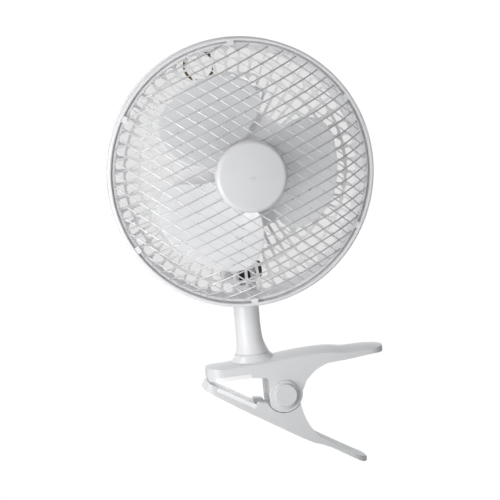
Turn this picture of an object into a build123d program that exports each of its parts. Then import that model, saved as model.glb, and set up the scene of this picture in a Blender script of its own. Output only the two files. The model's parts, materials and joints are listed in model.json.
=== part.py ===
from build123d import *
from math import acos, atan2, cos, hypot, pi, radians, sin, sqrt, tan
import os

os.makedirs("parts", exist_ok=True)

# ------------------------------------------------------------------ driving dimensions (mm)
# Row frame: origin at the centre of the upper jaw pad's gripping face, X along the clip
# towards the finger handles, Y to the back of the fan, Z up.
FAN_X, FAN_Y, FAN_Z = 16.0, -36.0, 151.5   # centre of the guard's rim groove
NECK_X = 16.0                              # centre of the neck's column (Y = 0)
SWIVEL_OFF = 1.5                           # swivel axis and foot of the neck, off the column towards the handles
TILT_Z = 77.5                              # height of the tilt hinge
HINGE_Y, HINGE_Z = 36.0, -74.0             # tilt hinge in the head's own frame

RING_R_OUT, RING_R_IN = 94.4, 91.9         # front ring
FLANGE_R = 95.2                            # rear guard's rim flange
RIM_R, RIM_WIRE_R, RIM_Y = 90.0, 1.25, -1.1
MESH_WIRE_R = 0.58
DOME_H, DOME_R, DOME_P, DOME_Q = 33.7, 91.5, 4.34, 0.90
OUTER_DIR, OUTER_OFF, OUTER_PITCH = 21.3, 2.29, 7.55
INNER_DIR, INNER_OFF, INNER_PITCH = -37.83, 3.59, 7.34
INNER_INSET = 1.25
BADGE_R, BADGE_FRONT, BADGE_BACK = 24.7, -43.0, -34.9

RIBS = 56                                  # radial ribs of the rear guard
RIB_W = 1.9
HOOPS = [(45.5, 60.0), (61.6, 69.0), (70.6, 79.3), (80.9, 87.3)]   # slot rows, inner and outer radius

BLADES = 3
TIP_R, HUB_R = 70.0, 17.0
SHAFT_R, RUN = 2.5, 0.05                   # shaft radius and radial running clearance
HOUSING_R, HOUSING_FRONT, HOUSING_BACK, WALL = 36.0, 25.8, 66.0, 2.0
KNOB_Z, INLET_Z = 20.5, -22.0
CORD_BORE_R = 2.6

ARM_HALF, CHEEK_IN = 13.0, 10.4            # clip arm half width, inside of its cheeks
PIVOT_X, PIVOT_Z = 36.3, -14.9             # clip pivot
LOBE_R, PIN_R = 13.6, 2.5
PAD_T = 3.0
NECK_R, SPIGOT_R = 9.25, 7.0
TIP_ROUND, NOSE_ROUND = 12.0, 12.0         # plan corner radii of the clip arms' ends
CHEEK_X = 25.2                             # jaw side edge of the upper arm's cheeks


# ------------------------------------------------------------------ helpers
def rounded(pts):
    """Closed face through (x, y) or (x, y, corner radius) points."""
    n, ends = len(pts), []
    for i in range(n):
        p = Vector(*pts[i][:2])
        r = pts[i][2] if len(pts[i]) > 2 else 0
        if not r:
            ends.append((p, None, p))
            continue
        u = (Vector(*pts[i - 1][:2]) - p).normalized()
        v = (Vector(*pts[(i + 1) % n][:2]) - p).normalized()
        half = acos(max(-1, min(1, u.dot(v)))) / 2
        bis = (u + v).normalized()
        t = r / tan(half)
        ends.append((p + u * t, p + bis * (r / sin(half) - r), p + v * t))
    edges = []
    for i in range(n):
        a, m, b = ends[i]
        if m is not None:
            edges.append(ThreePointArc(a, m, b))
        nxt = ends[(i + 1) % n][0]
        if (nxt - b).length > 1e-6:
            edges.append(Line(b, nxt))
    return Face(Wire(edges))


def turned_y(pts):
    """Solid of revolution about Y from (radius, y) points."""
    return revolve(rounded(pts), Axis.Y)


def turned_z(pts):
    """Solid of revolution about Z from (radius, z) points."""
    return revolve(Plane.XZ * rounded(pts), Axis.Z)


def side(pts, half, y=0.0):
    """Profile in X and Z, given thickness both ways about y."""
    return Pos(0, y, 0) * extrude(Plane.XZ * rounded(pts), amount=half, both=True)


def cyl_y(r, y0, y1, x=0.0, z=0.0):
    return Pos(x, (y0 + y1) / 2, z) * Rot(90, 0, 0) * Cylinder(r, y1 - y0)


def cyl_x(r, x0, x1, y=0.0, z=0.0):
    return Pos((x0 + x1) / 2, y, z) * Rot(0, 90, 0) * Cylinder(r, x1 - x0)


def cyl_z(r, z0, z1, x=0.0, y=0.0):
    return Pos(x, y, (z0 + z1) / 2) * Cylinder(r, z1 - z0)


def block(x0, x1, y0, y1, z0, z1):
    return Pos((x0 + x1) / 2, (y0 + y1) / 2, (z0 + z1) / 2) * Box(x1 - x0, y1 - y0, z1 - z0)


HEAD = Pos(FAN_X, FAN_Y, FAN_Z)
IDENT = Pos(0, 0, 0)


def save(name, shape, place=IDENT):
    items = shape if isinstance(shape, (list, tuple)) else [shape]
    solids = []
    for s in items:
        solids += list((place * s).solids())
    out = solids[0] if len(solids) == 1 else Compound(children=solids)
    out.label = name
    export_step(out, f"parts/{name}.step")
    print(name, len(solids), round(sum(s.volume for s in solids), 1))
    return out


# ================================================================== head: front ring and wire guard
ring = turned_y([
    (RING_R_IN, -2.6), (RING_R_IN, -6.0, 0.9), (RING_R_OUT, -6.0, 1.1), (RING_R_OUT, 5.0, 0.3),
    (93.05, 5.0), (93.05, -2.6)])
tab = block(88.9, 92.6, -5.4, -4.1, -2.45, 2.45)
for k in range(6):
    ring += Rot(0, -(90 + 60 * k), 0) * tab
save("front_ring", ring, HEAD)

rim = Rot(90, 0, 0) * Torus(RIM_R, RIM_WIRE_R)
save("guard_rim_wire", Pos(0, RIM_Y, 0) * rim, HEAD)


def dome(r):
    return DOME_H * max(0.0, 1 - (r / DOME_R) ** DOME_P) ** (1 / DOME_Q)


def dome_slope(r):
    return (dome(r + 0.01) - dome(r - 0.01)) / 0.02


def inner_table():
    rows, r0 = [(0.0, DOME_H - INNER_INSET)], 0.5
    while r0 < DOME_R - 0.02:
        m = dome_slope(r0)
        k = 1 / sqrt(1 + m * m)
        rows.append((r0 + m * k * INNER_INSET, dome(r0) - k * INNER_INSET))
        r0 += 0.25
    return rows


INNER_ROWS = inner_table()


def inner_dome(r):
    for (ra, za), (rb, zb) in zip(INNER_ROWS, INNER_ROWS[1:]):
        if rb >= r:
            return za + (zb - za) * (r - ra) / (rb - ra)
    (ra, za), (rb, zb) = INNER_ROWS[-2:]
    return zb + (zb - za) / (rb - ra) * (r - rb)


def wire_route(profile, d, end_r, spans=6):
    """One mesh wire in its own plane as pairs of tangent arcs: corner points and corner radii."""
    half = sqrt(end_r ** 2 - d ** 2)
    n = 600
    ts = [-half + 2 * half * i / n for i in range(n + 1)]
    zs = [profile(hypot(d, t)) for t in ts]
    ang = []
    for i in range(n + 1):
        a, b = max(0, i - 3), min(n, i + 3)
        ang.append(atan2(zs[b] - zs[a], ts[b] - ts[a]))
    run = [0.0]
    for i in range(n):
        run.append(run[-1] + max(0.0, ang[i] - ang[i + 1]) + 0.01 * hypot(ts[i + 1] - ts[i], zs[i + 1] - zs[i]))
    stations, j = [0], 0
    for k in range(1, spans):
        while run[j] < run[-1] * k / spans:
            j += 1
        stations.append(j)
    stations.append(n)
    pts, radii = [(ts[0], zs[0])], []
    for a, b in zip(stations, stations[1:]):
        ta, tb = (cos(ang[a]), sin(ang[a])), (cos(ang[b]), sin(ang[b]))
        v = (ts[b] - ts[a], zs[b] - zs[a])
        vt = v[0] * (ta[0] + tb[0]) + v[1] * (ta[1] + tb[1])
        c = 1 - ta[0] * tb[0] - ta[1] * tb[1]
        q = (sqrt(vt * vt + 2 * c * (v[0] ** 2 + v[1] ** 2)) - vt) / (2 * c)
        pa, pb = (ts[a] + q * ta[0], zs[a] + q * ta[1]), (ts[b] - q * tb[0], zs[b] - q * tb[1])
        m = atan2(pb[1] - pa[1], pb[0] - pa[0])
        for p, turn in ((pa, abs(ang[a] - m)), (pb, abs(m - ang[b]))):
            pts.append(p)
            radii.append(0.99 * q / tan(turn / 2))
    pts.append((ts[-1], zs[-1]))
    return pts, radii


def mesh_layer(direction, off, pitch, profile, end_r, limit=87.0):
    c, s = cos(radians(direction)), sin(radians(direction))
    solids = []
    for k in range(-13, 14):
        d = off + k * pitch
        if abs(d) > limit:
            continue
        pts, radii = wire_route(profile, d, end_r)
        p3 = [(t * c - d * s, -z, t * s + d * c) for t, z in pts]
        path = FilletPolyline(*p3, radius=radii)
        section = Plane(path @ 0, z_dir=path % 0) * Circle(MESH_WIRE_R)
        solids.append(sweep(section, path))
    return solids


save("guard_wires_outer", mesh_layer(OUTER_DIR, OUTER_OFF, OUTER_PITCH, dome, 89.9), HEAD)
save("guard_wires_inner", mesh_layer(INNER_DIR, INNER_OFF, INNER_PITCH, inner_dome, 90.0), HEAD)


# ================================================================== head: badge and its retainer
def cell(i, j):
    """Centre of the mesh opening between outer wires i, i+1 and inner wires j, j+1."""
    a, b = OUTER_OFF + (i + 0.5) * OUTER_PITCH, INNER_OFF + (j + 0.5) * INNER_PITCH
    na = (-sin(radians(OUTER_DIR)), cos(radians(OUTER_DIR)))
    nb = (-sin(radians(INNER_DIR)), cos(radians(INNER_DIR)))
    det = na[0] * nb[1] - na[1] * nb[0]
    return ((a * nb[1] - b * na[1]) / det, (na[0] * b - nb[0] * a) / det)


CELLS = [cell(i, j) for i in range(-4, 4) for j in range(-4, 4)]
POSTS = [min(CELLS, key=lambda c: hypot(c[0] - tx, c[1] - tz)) for tx, tz in ((9, 9), (-9, 9), (-9, -9), (9, -9))]
print("posts", POSTS)
EDGE_R, CROWN_H = 21.9, 0.75               # badge face: a shallow spherical cap inside a rounded rim
CAP_R = (EDGE_R ** 2 + CROWN_H ** 2) / (2 * CROWN_H)
FACE_Y = BADGE_FRONT + 0.25
badge = revolve(Face(Wire([
    Line((0, BADGE_BACK), (BADGE_R, BADGE_BACK)), Line((BADGE_R, BADGE_BACK), (BADGE_R, -39.8)),
    ThreePointArc((BADGE_R, -39.8), (23.85, -41.75), (EDGE_R, FACE_Y)),
    ThreePointArc((EDGE_R, FACE_Y), (EDGE_R / 2, FACE_Y - CROWN_H + CAP_R - sqrt(CAP_R ** 2 - EDGE_R ** 2 / 4)), (0, FACE_Y - CROWN_H)),
    Line((0, FACE_Y - CROWN_H), (0, BADGE_BACK))])), Axis.Y)
for x, z in POSTS:
    badge += cyl_y(2.0, BADGE_BACK - 0.5, -29.6, x, z)
save("hub_badge", badge, HEAD)
retainer = turned_y([(0, -31.7), (20.0, -31.7, 0.4), (20.0, -29.7, 0.6), (0, -29.7)])
for x, z in POSTS:
    retainer -= cyl_y(2.0, -32, -29, x, z)
save("badge_retainer", retainer, HEAD)

# ================================================================== head: rear guard
guard = turned_y([
    (6.2, 23.0), (45.0, 23.0), (46.0, 22.4), (79.5, 19.8, 6), (85.3, 18.4, 3.2), (88.6, 8.0, 8), (90.6, 3.0), (90.6, 1.3),
    (92.9, 1.3), (92.9, 5.05), (FLANGE_R, 5.05, 0.4), (FLANGE_R, 9.0, 1.2), (92.2, 9.6, 1.0), (90.7, 9.6, 0.5), (87.9, 20.3, 3.6),
    (79.9, 22.2, 6), (46.5, 24.6), (45.0, 25.5), (6.2, 25.5)])
slots = []
for r0, r1 in HOOPS:
    w0 = pi * r0 / RIBS - RIB_W / 2
    w1 = pi * r1 / RIBS - RIB_W / 2
    ro = min(w1 * 0.9, 2.6)
    prof = rounded([(r0, -w0, 0.5), (r1, -w1, ro), (r1, w1, ro), (r0, w0, 0.5)])
    tool = Pos(0, 45, 0) * extrude(Plane.XZ * prof, amount=40)
    for k in range(RIBS):
        slots.append(Rot(0, 360 * (k + 0.5) / RIBS, 0) * tool)
guard = guard - slots
for a in (30, 150, 270):
    guard -= cyl_y(1.6, 20, 27, 31 * cos(radians(a)), 31 * sin(radians(a)))
for z in (-12, 12):
    guard -= cyl_y(1.4, 20, 27, 0, z)
save("rear_guard", guard, HEAD)

# eyelet for the hanging ring, moulded as a clip-on foot on the guard's outer band
LUG_X, LUG_Y, LUG_Z = -18.3, 28.5, 87.6
HANG_R, HANG_WIRE = 10.6, 0.95
lug = extrude(Plane.YZ * rounded([
    (10.5, 88.45), (19.0, 88.45, 2), (24.5, 84.2, 2), (31.9, 84.2, 3.3), (31.9, 91.0, 3.3), (24, 91.0, 3), (20, 91.2, 2), (10.5, 91.2, 0.8)]),
    amount=1.3, both=True)
lug = Pos(LUG_X, 0, 0) * lug
lug -= cyl_x(1.45, LUG_X - 3, LUG_X + 3, LUG_Y, LUG_Z)
lug -= turned_y([(0, 9), (91.0, 9), (88.15, 20.4), (80, 22.4), (0, 26)])
save("ring_lug", lug, HEAD)
hang = Pos(LUG_X, LUG_Y, LUG_Z - HANG_R) * (Rot(90, 0, 0) * Torus(HANG_R, HANG_WIRE))
hang -= block(LUG_X - 0.25, LUG_X + 0.25, LUG_Y - 2, LUG_Y + 2, LUG_Z - 2 * HANG_R - 2, LUG_Z - 2 * HANG_R + 2)
save("hanging_ring", hang, HEAD)

# ================================================================== head: motor housing and the tilt bracket under it
shell = turned_y([(0, HOUSING_FRONT), (HOUSING_R, HOUSING_FRONT), (HOUSING_R, HOUSING_BACK, 9), (0, HOUSING_BACK)])
shell -= turned_y([(0, HOUSING_FRONT - 1), (HOUSING_R - WALL, HOUSING_FRONT - 1),
                   (HOUSING_R - WALL, HOUSING_BACK - WALL, 7), (0, HOUSING_BACK - WALL)])
tongue = extrude(Plane.YZ * rounded([
    (27.4, -32.0), (49.0, -32.0), (44.6, -44.0, 8), (43.0, -58.0), (43.0, HINGE_Z), (29.0, HINGE_Z), (27.4, -52.0)]), amount=4.0, both=True)
tongue += cyl_x(7.0, -4.0, 4.0, HINGE_Y, HINGE_Z)
tongue += extrude(Plane.YZ * rounded([(28.5, -32.0), (47.0, -32.0), (43.4, -52.0), (41.0, -61.5, 2), (31.0, -61.5, 2), (29.6, -52.0)]), amount=5.6, both=True)
tongue -= cyl_y(HOUSING_R, 20, 70)
SADDLE, SADDLE_Y, SEAT = (-3.4, 3.4), 42.4, -33.3
for x in SADDLE:
    tongue -= cyl_z(1.5, -46.0, -30.0, x, SADDLE_Y)
tongue -= cyl_x(2.0 + RUN, -10, 10, HINGE_Y, HINGE_Z)
save("tilt_bracket", tongue, HEAD)
saddle_screws = []
for x in SADDLE:
    s = cyl_z(1.5, -45.0, SEAT + 0.4, x, SADDLE_Y) + cyl_z(2.8, SEAT, SEAT + 1.8, x, SADDLE_Y)
    s -= block(x - 3.0, x + 3.0, SADDLE_Y - 0.35, SADDLE_Y + 0.35, SEAT + 1.0, SEAT + 2.0)
    saddle_screws.append(s)
save("tilt_bracket_screws", saddle_screws, HEAD)
for a, end in ((30, HOUSING_BACK - 1.0), (150, HOUSING_BACK - 1.0), (270, 38.7)):
    x, z = 31 * cos(radians(a)), 31 * sin(radians(a))
    shell += cyl_y(3.1, HOUSING_FRONT, end, x, z) & turned_y(
        [(0, HOUSING_FRONT), (HOUSING_R - 0.5, HOUSING_FRONT), (HOUSING_R - 0.5, HOUSING_BACK - 1.0, 7), (0, HOUSING_BACK - 1.0)])
    shell -= cyl_y(1.4, HOUSING_FRONT - 1, 40, x, z)
slot_cut = []
for z in (-13.0, -8.2, -3.4, 1.4, 6.2):
    w = 20.0 if abs(z) > 10 else 24.0
    slot_cut.append(Pos(0, 66, z) * (Rot(90, 0, 0) * extrude(SlotOverall(2 * w, 2.2), amount=6, both=True)))
for a in list(range(-32, 33, 8)):
    for base in (0, 180):
        slot_cut.append(Rot(0, -(base + a), 0) * (Pos(36, 44, 0) * Box(8, 20, 2.0)))
shell = shell - slot_cut
shell -= cyl_y(3.05, 60, 68, 0, KNOB_Z)
shell -= cyl_y(4.5, 60, 68, 0, INLET_Z)
for x in SADDLE:
    shell += cyl_z(3.2, -35.0, SEAT, x, SADDLE_Y)
for x in SADDLE:
    shell -= cyl_z(1.5, -40.0, -30.0, x, SADDLE_Y)
save("motor_housing", shell, HEAD)

housing_screws = []
for a in (30, 150, 270):
    x, z = 31 * cos(radians(a)), 31 * sin(radians(a))
    s = cyl_y(1.4, 22.9, 38, x, z) + cyl_y(2.8, 21.0, 23.0, x, z)
    s -= block(x - 2, x + 2, 20.5, 21.8, z - 0.35, z + 0.35)
    s -= block(x - 0.35, x + 0.35, 20.5, 21.8, z - 2, z + 2)
    housing_screws.append(s)
save("housing_screws", housing_screws, HEAD)

# ================================================================== head: motor
core = turned_y([(20, 38), (26, 38), (26, 52), (20, 52)])
bobbins, coils = [], []
for a in (45, 135, 225, 315):
    turn = Rot(0, -a, 0)
    core += turn * block(12.5, 21.0, 38, 52, -3.5, 3.5)
    core += turn * block(11.8, 13.4, 38, 52, -6.0, 6.0)
    bobbins.append(turn * (block(13.5, 19.2, 37, 53, -4.6, 4.6) - block(13.4, 19.4, 38, 52, -3.5, 3.5)))
    coils.append(turn * (block(14.0, 18.5, 35.6, 54.4, -6.8, 6.8) - block(13.9, 19.4, 37, 53, -4.6, 4.6)))
core -= cyl_y(11.5, 37, 53)
for x in (-23, 23):
    core -= cyl_y(1.6, 37, 53, x)
save("stator_core", core, HEAD)
save("coil_bobbins", bobbins, HEAD)
save("field_coils", coils, HEAD)

front_br = extrude(Plane.XZ * rounded([(-28, -8, 4), (28, -8, 4), (28, 8, 4), (-28, 8, 4)]), amount=2.0)
front_br = Pos(0, 27.5, 0) * front_br + Pos(0, 27.5, 0) * extrude(
    Plane.XZ * rounded([(-6, -15, 3), (6, -15, 3), (6, 15, 3), (-6, 15, 3)]), amount=2.0)
front_br += cyl_y(7.0, 27.4, 32.0)
rear_br = Pos(0, 59.0, 0) * extrude(Plane.XZ * rounded([(-28, -7, 4), (28, -7, 4), (28, 7, 4), (-28, 7, 4)]), amount=2.0)
rear_br += cyl_y(7.0, 55.0, 57.1)
for x in (-23, 23):
    front_br += cyl_y(3.0, 27.4, 38, x)
    rear_br += cyl_y(3.0, 52, 57.1, x)
    front_br -= cyl_y(1.6, 25, 39, x)
    rear_br -= cyl_y(1.6, 51, 60, x)
for z in (-12, 12):
    front_br -= cyl_y(1.4, 25, 29, 0, z)
front_br -= cyl_y(5.0, 25, 33)
rear_br -= cyl_y(5.0, 54, 60)
save("front_bearing_bracket", front_br, HEAD)
save("rear_bearing_bracket", rear_br, HEAD)
bore = SHAFT_R + RUN
save("front_bush", turned_y([(bore, 24.6), (5.0, 24.6, 0.5), (5.0, 32.0, 0.5), (bore, 32.0)]), HEAD)
save("rear_bush", turned_y([(bore, 53.6), (5.0, 53.6, 0.5), (5.0, 61.0, 0.5), (bore, 61.0)]), HEAD)
motor_screws = []
for x in (-23, 23):
    s = cyl_y(1.6, 25.7, 59.1, x) + cyl_y(3.0, 59.0, 61.2, x)
    s -= block(x - 3.1, x + 3.1, 60.4, 61.4, -0.4, 0.4)
    motor_screws.append(s)
save("motor_screws", motor_screws, HEAD)
bracket_screws = []
for z in (-12, 12):
    s = cyl_y(1.4, 22.9, 29.0, 0, z) + cyl_y(2.7, 21.2, 23.0, 0, z)
    s -= block(-2.8, 2.8, 20.8, 21.9, z - 0.35, z + 0.35)
    bracket_screws.append(s)
save("bracket_screws", bracket_screws, HEAD)

switch = block(-9, 9, 56, 63.4, KNOB_Z - 7.5, KNOB_Z + 6.8)
switch += block(-1, -0.2, 52.5, 56.1, KNOB_Z + 5, KNOB_Z + 7) + block(3, 3.8, 52.5, 56.1, KNOB_Z + 5, KNOB_Z + 7)
switch += block(-5, -4.2, 52.5, 56.1, KNOB_Z + 5, KNOB_Z + 7)
switch -= cyl_y(3.05, 59, 64, 0, KNOB_Z)
save("switch_body", switch, HEAD)
gland = cyl_y(4.5, 62.4, 66.1, 0, INLET_Z) + Pos(0, 0, INLET_Z) * turned_y([(0, 66.0), (6.2, 66.0), (6.2, 68.0, 0.8), (4.6, 70.4, 0.6), (0, 70.4)])
gland -= cyl_y(CORD_BORE_R, 62, 71, 0, INLET_Z)
save("cord_gland", gland, HEAD)

# ================================================================== impeller body
LEAD = [(15.9, 197.4), (20, 195.2), (26, 192.0), (32.5, 189.2), (38, 187.0), (43, 185.5), (48, 185.0), (52.5, 186.3), (56.5, 189.4),
        (60, 193.2), (63, 197.4), (65.5, 202.4), (67.5, 207.6), (69.0, 213.6), (69.8, 220.0), (70.0, 226.5)]
TRAIL = [(15.9, 288.2), (20, 288.0), (26, 287.6), (32.5, 286.9), (38, 285.8), (43, 284.4), (48, 282.4), (52.5, 280.2), (56.5, 277.8),
         (60, 275.2), (63, 272.4), (65.5, 269.6), (67.5, 266.6), (69.0, 263.2), (69.8, 259.6), (70.0, 255.5)]
BACK_Y, FRONT_Y, BLADE_T = 12.6, -11.0, 1.5


def blade_y(theta, r):
    s = (theta - 185.0) / 103.0
    return BACK_Y + (FRONT_Y - BACK_Y) * s + 10.0 * s * (1 - s) * r / TIP_R


rows = []
for i in range(9):
    r = 12.0 + 8.0 * i
    rows.append([Vector(r * cos(radians(th)), blade_y(th, r) - BLADE_T / 2, r * sin(radians(th)))
                 for th in [170 + 6.5 * j for j in range(21)]])
sheet = Face.make_surface_from_array_of_points(rows, tol=0.01, min_deg=3, max_deg=6)
plan = [(r * cos(radians(a)), r * sin(radians(a))) for r, a in LEAD + [(TIP_R, 241.0)] + TRAIL[::-1]]
prism = extrude(Plane.XZ * Face(Wire([Spline(*plan), Line(plan[-1], plan[0])])), amount=20, both=True)
blade = Solid.thicken(sheet, BLADE_T) & prism
hub = turned_y([(0, -21.6), (14.0, -21.6, 3.0), (HUB_R, -19.6, 2.4), (HUB_R, 14.0), (15.2, 14.0), (15.2, -18.6, 1.5), (6.0, -18.6),
                (6.0, 10.0), (0, 10.0)])
wheel = hub
for k in range(3):
    wheel += Rot(0, 120 * k, 0) * blade
for k in range(3):
    wheel += Rot(0, 120 * k + 40, 0) * block(5.5, 15.6, -18.4, 6.0, -0.8, 0.8)
wheel -= cyl_y(SHAFT_R, -15.0, 15.0)
save("impeller", wheel, HEAD)
save("motor_shaft", turned_y([(0, -15.0), (SHAFT_R, -15.0, 0.4), (SHAFT_R, 61.8, 0.4), (0, 61.8)]), HEAD)
rotor = turned_y([(SHAFT_R, 33.4), (4.0, 33.4), (4.0, 36.4), (9.4, 36.4, 0.6), (9.4, 38.0), (11.0, 38.0), (11.0, 52.0), (SHAFT_R, 52.0)])
save("rotor_core", rotor, HEAD)
washers = [turned_y([(SHAFT_R, a), (4.6, a), (4.6, a + 0.9), (SHAFT_R, a + 0.9)]) for a in (32.4, 52.3)]
save("thrust_washers", washers, HEAD)

# ================================================================== speed knob body
knob = turned_y([(0, 66.6), (9.0, 66.6, 0.5), (8.3, 77.6, 1.2), (0, 77.6)])
knob -= [Rot(0, a, 0) * (Pos(9.6, 73, 0) * (Rot(90, 0, 0) * Cylinder(1.1, 9.2))) for a in range(15, 360, 30)]
knob += block(-0.7, 0.7, 77.2, 78.3, 1.5, 7.4)
knob -= cyl_y(3.0, 66, 74)
save("speed_knob", Pos(0, 0, KNOB_Z) * knob, HEAD)
save("switch_spindle", cyl_y(3.0, 59.1, 74.0, 0, KNOB_Z), HEAD)

# ================================================================== neck body
flare = [(17.1, 1.5, 12.0), (18.6, 1.4, 11.45), (21.0, 1.1, 10.7), (25.0, 0.55, 9.85), (30.0, 0.2, 9.4), (36.0, 0.1, NECK_R), (42.0, 0.1, NECK_R)]
neck = loft([Pos(c, 0, z) * Circle(r) for z, c, r in flare])
neck += Pos(SWIVEL_OFF, 0, 0) * turned_z([(0, 16.6), (11.55, 16.6), (12.0, 17.1), (0, 17.1)])
neck += cyl_z(NECK_R, 42.0, TILT_Z + 12, 0.1)
neck &= (block(-20, 20, -20, 20, 0, TILT_Z) + cyl_x(NECK_R + 0.1, -20, 20, 0, TILT_Z))
neck -= block(-4.3, 4.3, -20, 20, TILT_Z - 9.4, TILT_Z + 20)
for sx in (-1, 1):
    neck -= block(min(sx * 8.2, sx * 12), max(sx * 8.2, sx * 12), -12, 12, TILT_Z - 7.4, TILT_Z + 12)
neck += cyl_z(SPIGOT_R, 7.3, 17.0, SWIVEL_OFF)
neck -= cyl_z(4.2, 30.0, TILT_Z - 9.0)
neck -= cyl_z(1.7, 6.0, 22.0, SWIVEL_OFF)
neck -= cyl_x(2.0, -12, 12, 0, TILT_Z)
PLACE = Pos(NECK_X, 0, 0)
SWIVEL = Pos(NECK_X + SWIVEL_OFF, 0, 0)
save("neck", neck, PLACE)
washers = [cyl_x(4.6, a, b, 0, TILT_Z) - cyl_x(2.0, a - 1, b + 1, 0, TILT_Z) for a, b in ((8.2, 8.8), (-8.8, -8.2))]
save("tilt_washers", washers, PLACE)
cap = Pos(0, 0, TILT_Z) * (Rot(0, 90, 0) * turned_z([(0, 8.8), (5.6, 8.8, 0.4), (6.3, 10.2, 1.0), (6.1, 13.4, 1.4), (0, 14.2)]))
bolt = cyl_x(2.0, -14.5, 8.9, 0, TILT_Z) + cap
save("tilt_bolt", bolt, PLACE)
nut = Rot(0, -90, 0) * turned_z([(0, 8.8), (5.0, 8.8), (5.6, 10.2), (6.2, 11.4, 0.6), (6.2, 16.0, 1.3), (0, 16.6)])
nut -= [Rot(a, 0, 0) * (Pos(-13.8, 6.9, 0) * (Rot(0, 90, 0) * Cylinder(1.5, 7))) for a in range(0, 360, 45)]
nut = Pos(0, 0, TILT_Z) * nut
nut -= cyl_x(2.0, -14.5, -8, 0, TILT_Z)
save("tilt_knob", nut, PLACE)
save("swivel_washer", cyl_z(8.6, 6.1, 7.3) - cyl_z(1.7, 6, 8), SWIVEL)
sw = cyl_z(1.7, 6.0, 21.5) + turned_z([(0, 3.5), (3.6, 3.5, 0.6), (3.6, 6.1), (0, 6.1)])
sw -= block(-2.2, 2.2, -0.45, 0.45, 3.3, 4.5)
sw -= block(-0.45, 0.45, -2.2, 2.2, 3.3, 4.5)
save("swivel_screw", sw, SWIVEL)

# ================================================================== upper clip arm
# stations along the arm: x, crown height, drop of the arch at the shoulder, drop at the side face
STATIONS = [(-27.0, 8.1, 0.5, 1.7), (-17.0, 9.6, 0.7, 2.0), (-12.0, 10.35, 0.9, 2.3), (-5.0, 10.95, 1.4, 3.0), (3.0, 11.8, 1.9, 3.6),
            (12.0, 12.4, 2.3, 4.2), (23.0, 12.9, 2.6, 4.5), (33.0, 13.55, 2.6, 4.5), (43.0, 14.5, 2.6, 4.5), (54.0, 15.1, 2.6, 4.5),
            (66.0, 15.3, 2.6, 4.5), (75.0, 14.7, 2.6, 4.5), (80.0, 13.85, 2.6, 4.5), (86.0, 13.1, 2.6, 4.5), (92.0, 12.95, 2.5, 4.4),
            (98.0, 13.0, 2.3, 4.1), (104.0, 12.6, 1.9, 3.6), (110.0, 11.7, 1.4, 3.0), (116.0, 10.3, 1.0, 2.5), (124.0, 8.4, 0.8, 2.2)]
IN = 11.1


def arm_section(x, top, arch, flank):
    """Cross section under the crown: arched top, rounded shoulders."""
    a, m, c = (IN, top - arch), (12.5, top - arch - 0.27 * (flank - arch)), (ARM_HALF + 0.15, top - flank - 0.3)
    return Plane.YZ.offset(x) * Face(Wire([
        Line((-c[0], -44), (c[0], -44)), Line((c[0], -44), c), ThreePointArc(c, m, a),
        ThreePointArc(a, (0, top), (-a[0], a[1])), ThreePointArc((-a[0], a[1]), (-m[0], m[1]), (-c[0], c[1])),
        Line((-c[0], c[1]), (-c[0], -44))]))


crown = loft([arm_section(*st) for st in STATIONS])
outline = side([
    (-17.3, 0.0, 0.8), (-18.3, 5.0, 3), (-18.3, 9.75, 2.2), (-9.0, 11.4), (6.0, 17.0), (104.0, 17.0), (106.0, 15.0), (115.0, 11.4, 1.5),
    (115.0, 6.3, 0.9), (103.6, 6.45, 60), (88.1, 4.85, 60), (69.8, 3.8, 12), (60.5, -0.3, 14), (53.7, -6.8, 8), (49.6, -14.9),
    (PIVOT_X, PIVOT_Z), (CHEEK_X, -14.9), (CHEEK_X, -1.8, 1.2), (14.0, 0.0)], ARM_HALF)
outline += cyl_y(LOBE_R, -ARM_HALF, ARM_HALF, PIVOT_X, PIVOT_Z) & block(CHEEK_X, 80, -20, 20, -40, 10)
arm = outline & crown
# nose rounded in plan
nose = extrude(rounded([(-18.3, -ARM_HALF, NOSE_ROUND), (130, -ARM_HALF), (130, ARM_HALF), (-18.3, ARM_HALF, NOSE_ROUND)]), amount=60, both=True)
tip = extrude(rounded([(-40, -ARM_HALF), (115.0, -ARM_HALF, TIP_ROUND), (115.0, ARM_HALF, TIP_ROUND), (-40, ARM_HALF)]), amount=60, both=True)
arm = arm & nose & tip
# hollow underside
cavity = side([(6.0, -60), (6.0, 7.4, 1.5), (30.0, 7.9), (50.0, 10.4), (66.0, 11.3), (75.0, 10.7), (84.0, 9.3), (104.8, 8.7, 1.0), (106.0, 3.0), (106.0, -60)], CHEEK_IN)
arm -= cavity
for x in (70.0, 84.0, 98.0):
    arm += block(x - 0.8, x + 0.8, -CHEEK_IN - 0.1, CHEEK_IN + 0.1, 5.9, 12.4) & crown
# web that closes the arm towards the jaw
arm += block(CHEEK_X + 1.3, CHEEK_X + 2.8, -CHEEK_IN - 0.1, CHEEK_IN + 0.1, -5.0, 9.0)
# recess of the jaw pad
arm -= block(-13.0, 13.0, -20, 20, -5, PAD_T)
# boss rings around the pivot, pin bore
BOSS_Y, CAP_Y = 15.3, 19.0
for sy in (-1, 1):
    ring_b = cyl_y(10.2, min(sy * 12.9, sy * BOSS_Y), max(sy * 12.9, sy * BOSS_Y), PIVOT_X, PIVOT_Z)
    arm += ring_b
arm -= cyl_y(PIN_R, -30, 30, PIVOT_X, PIVOT_Z)
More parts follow.
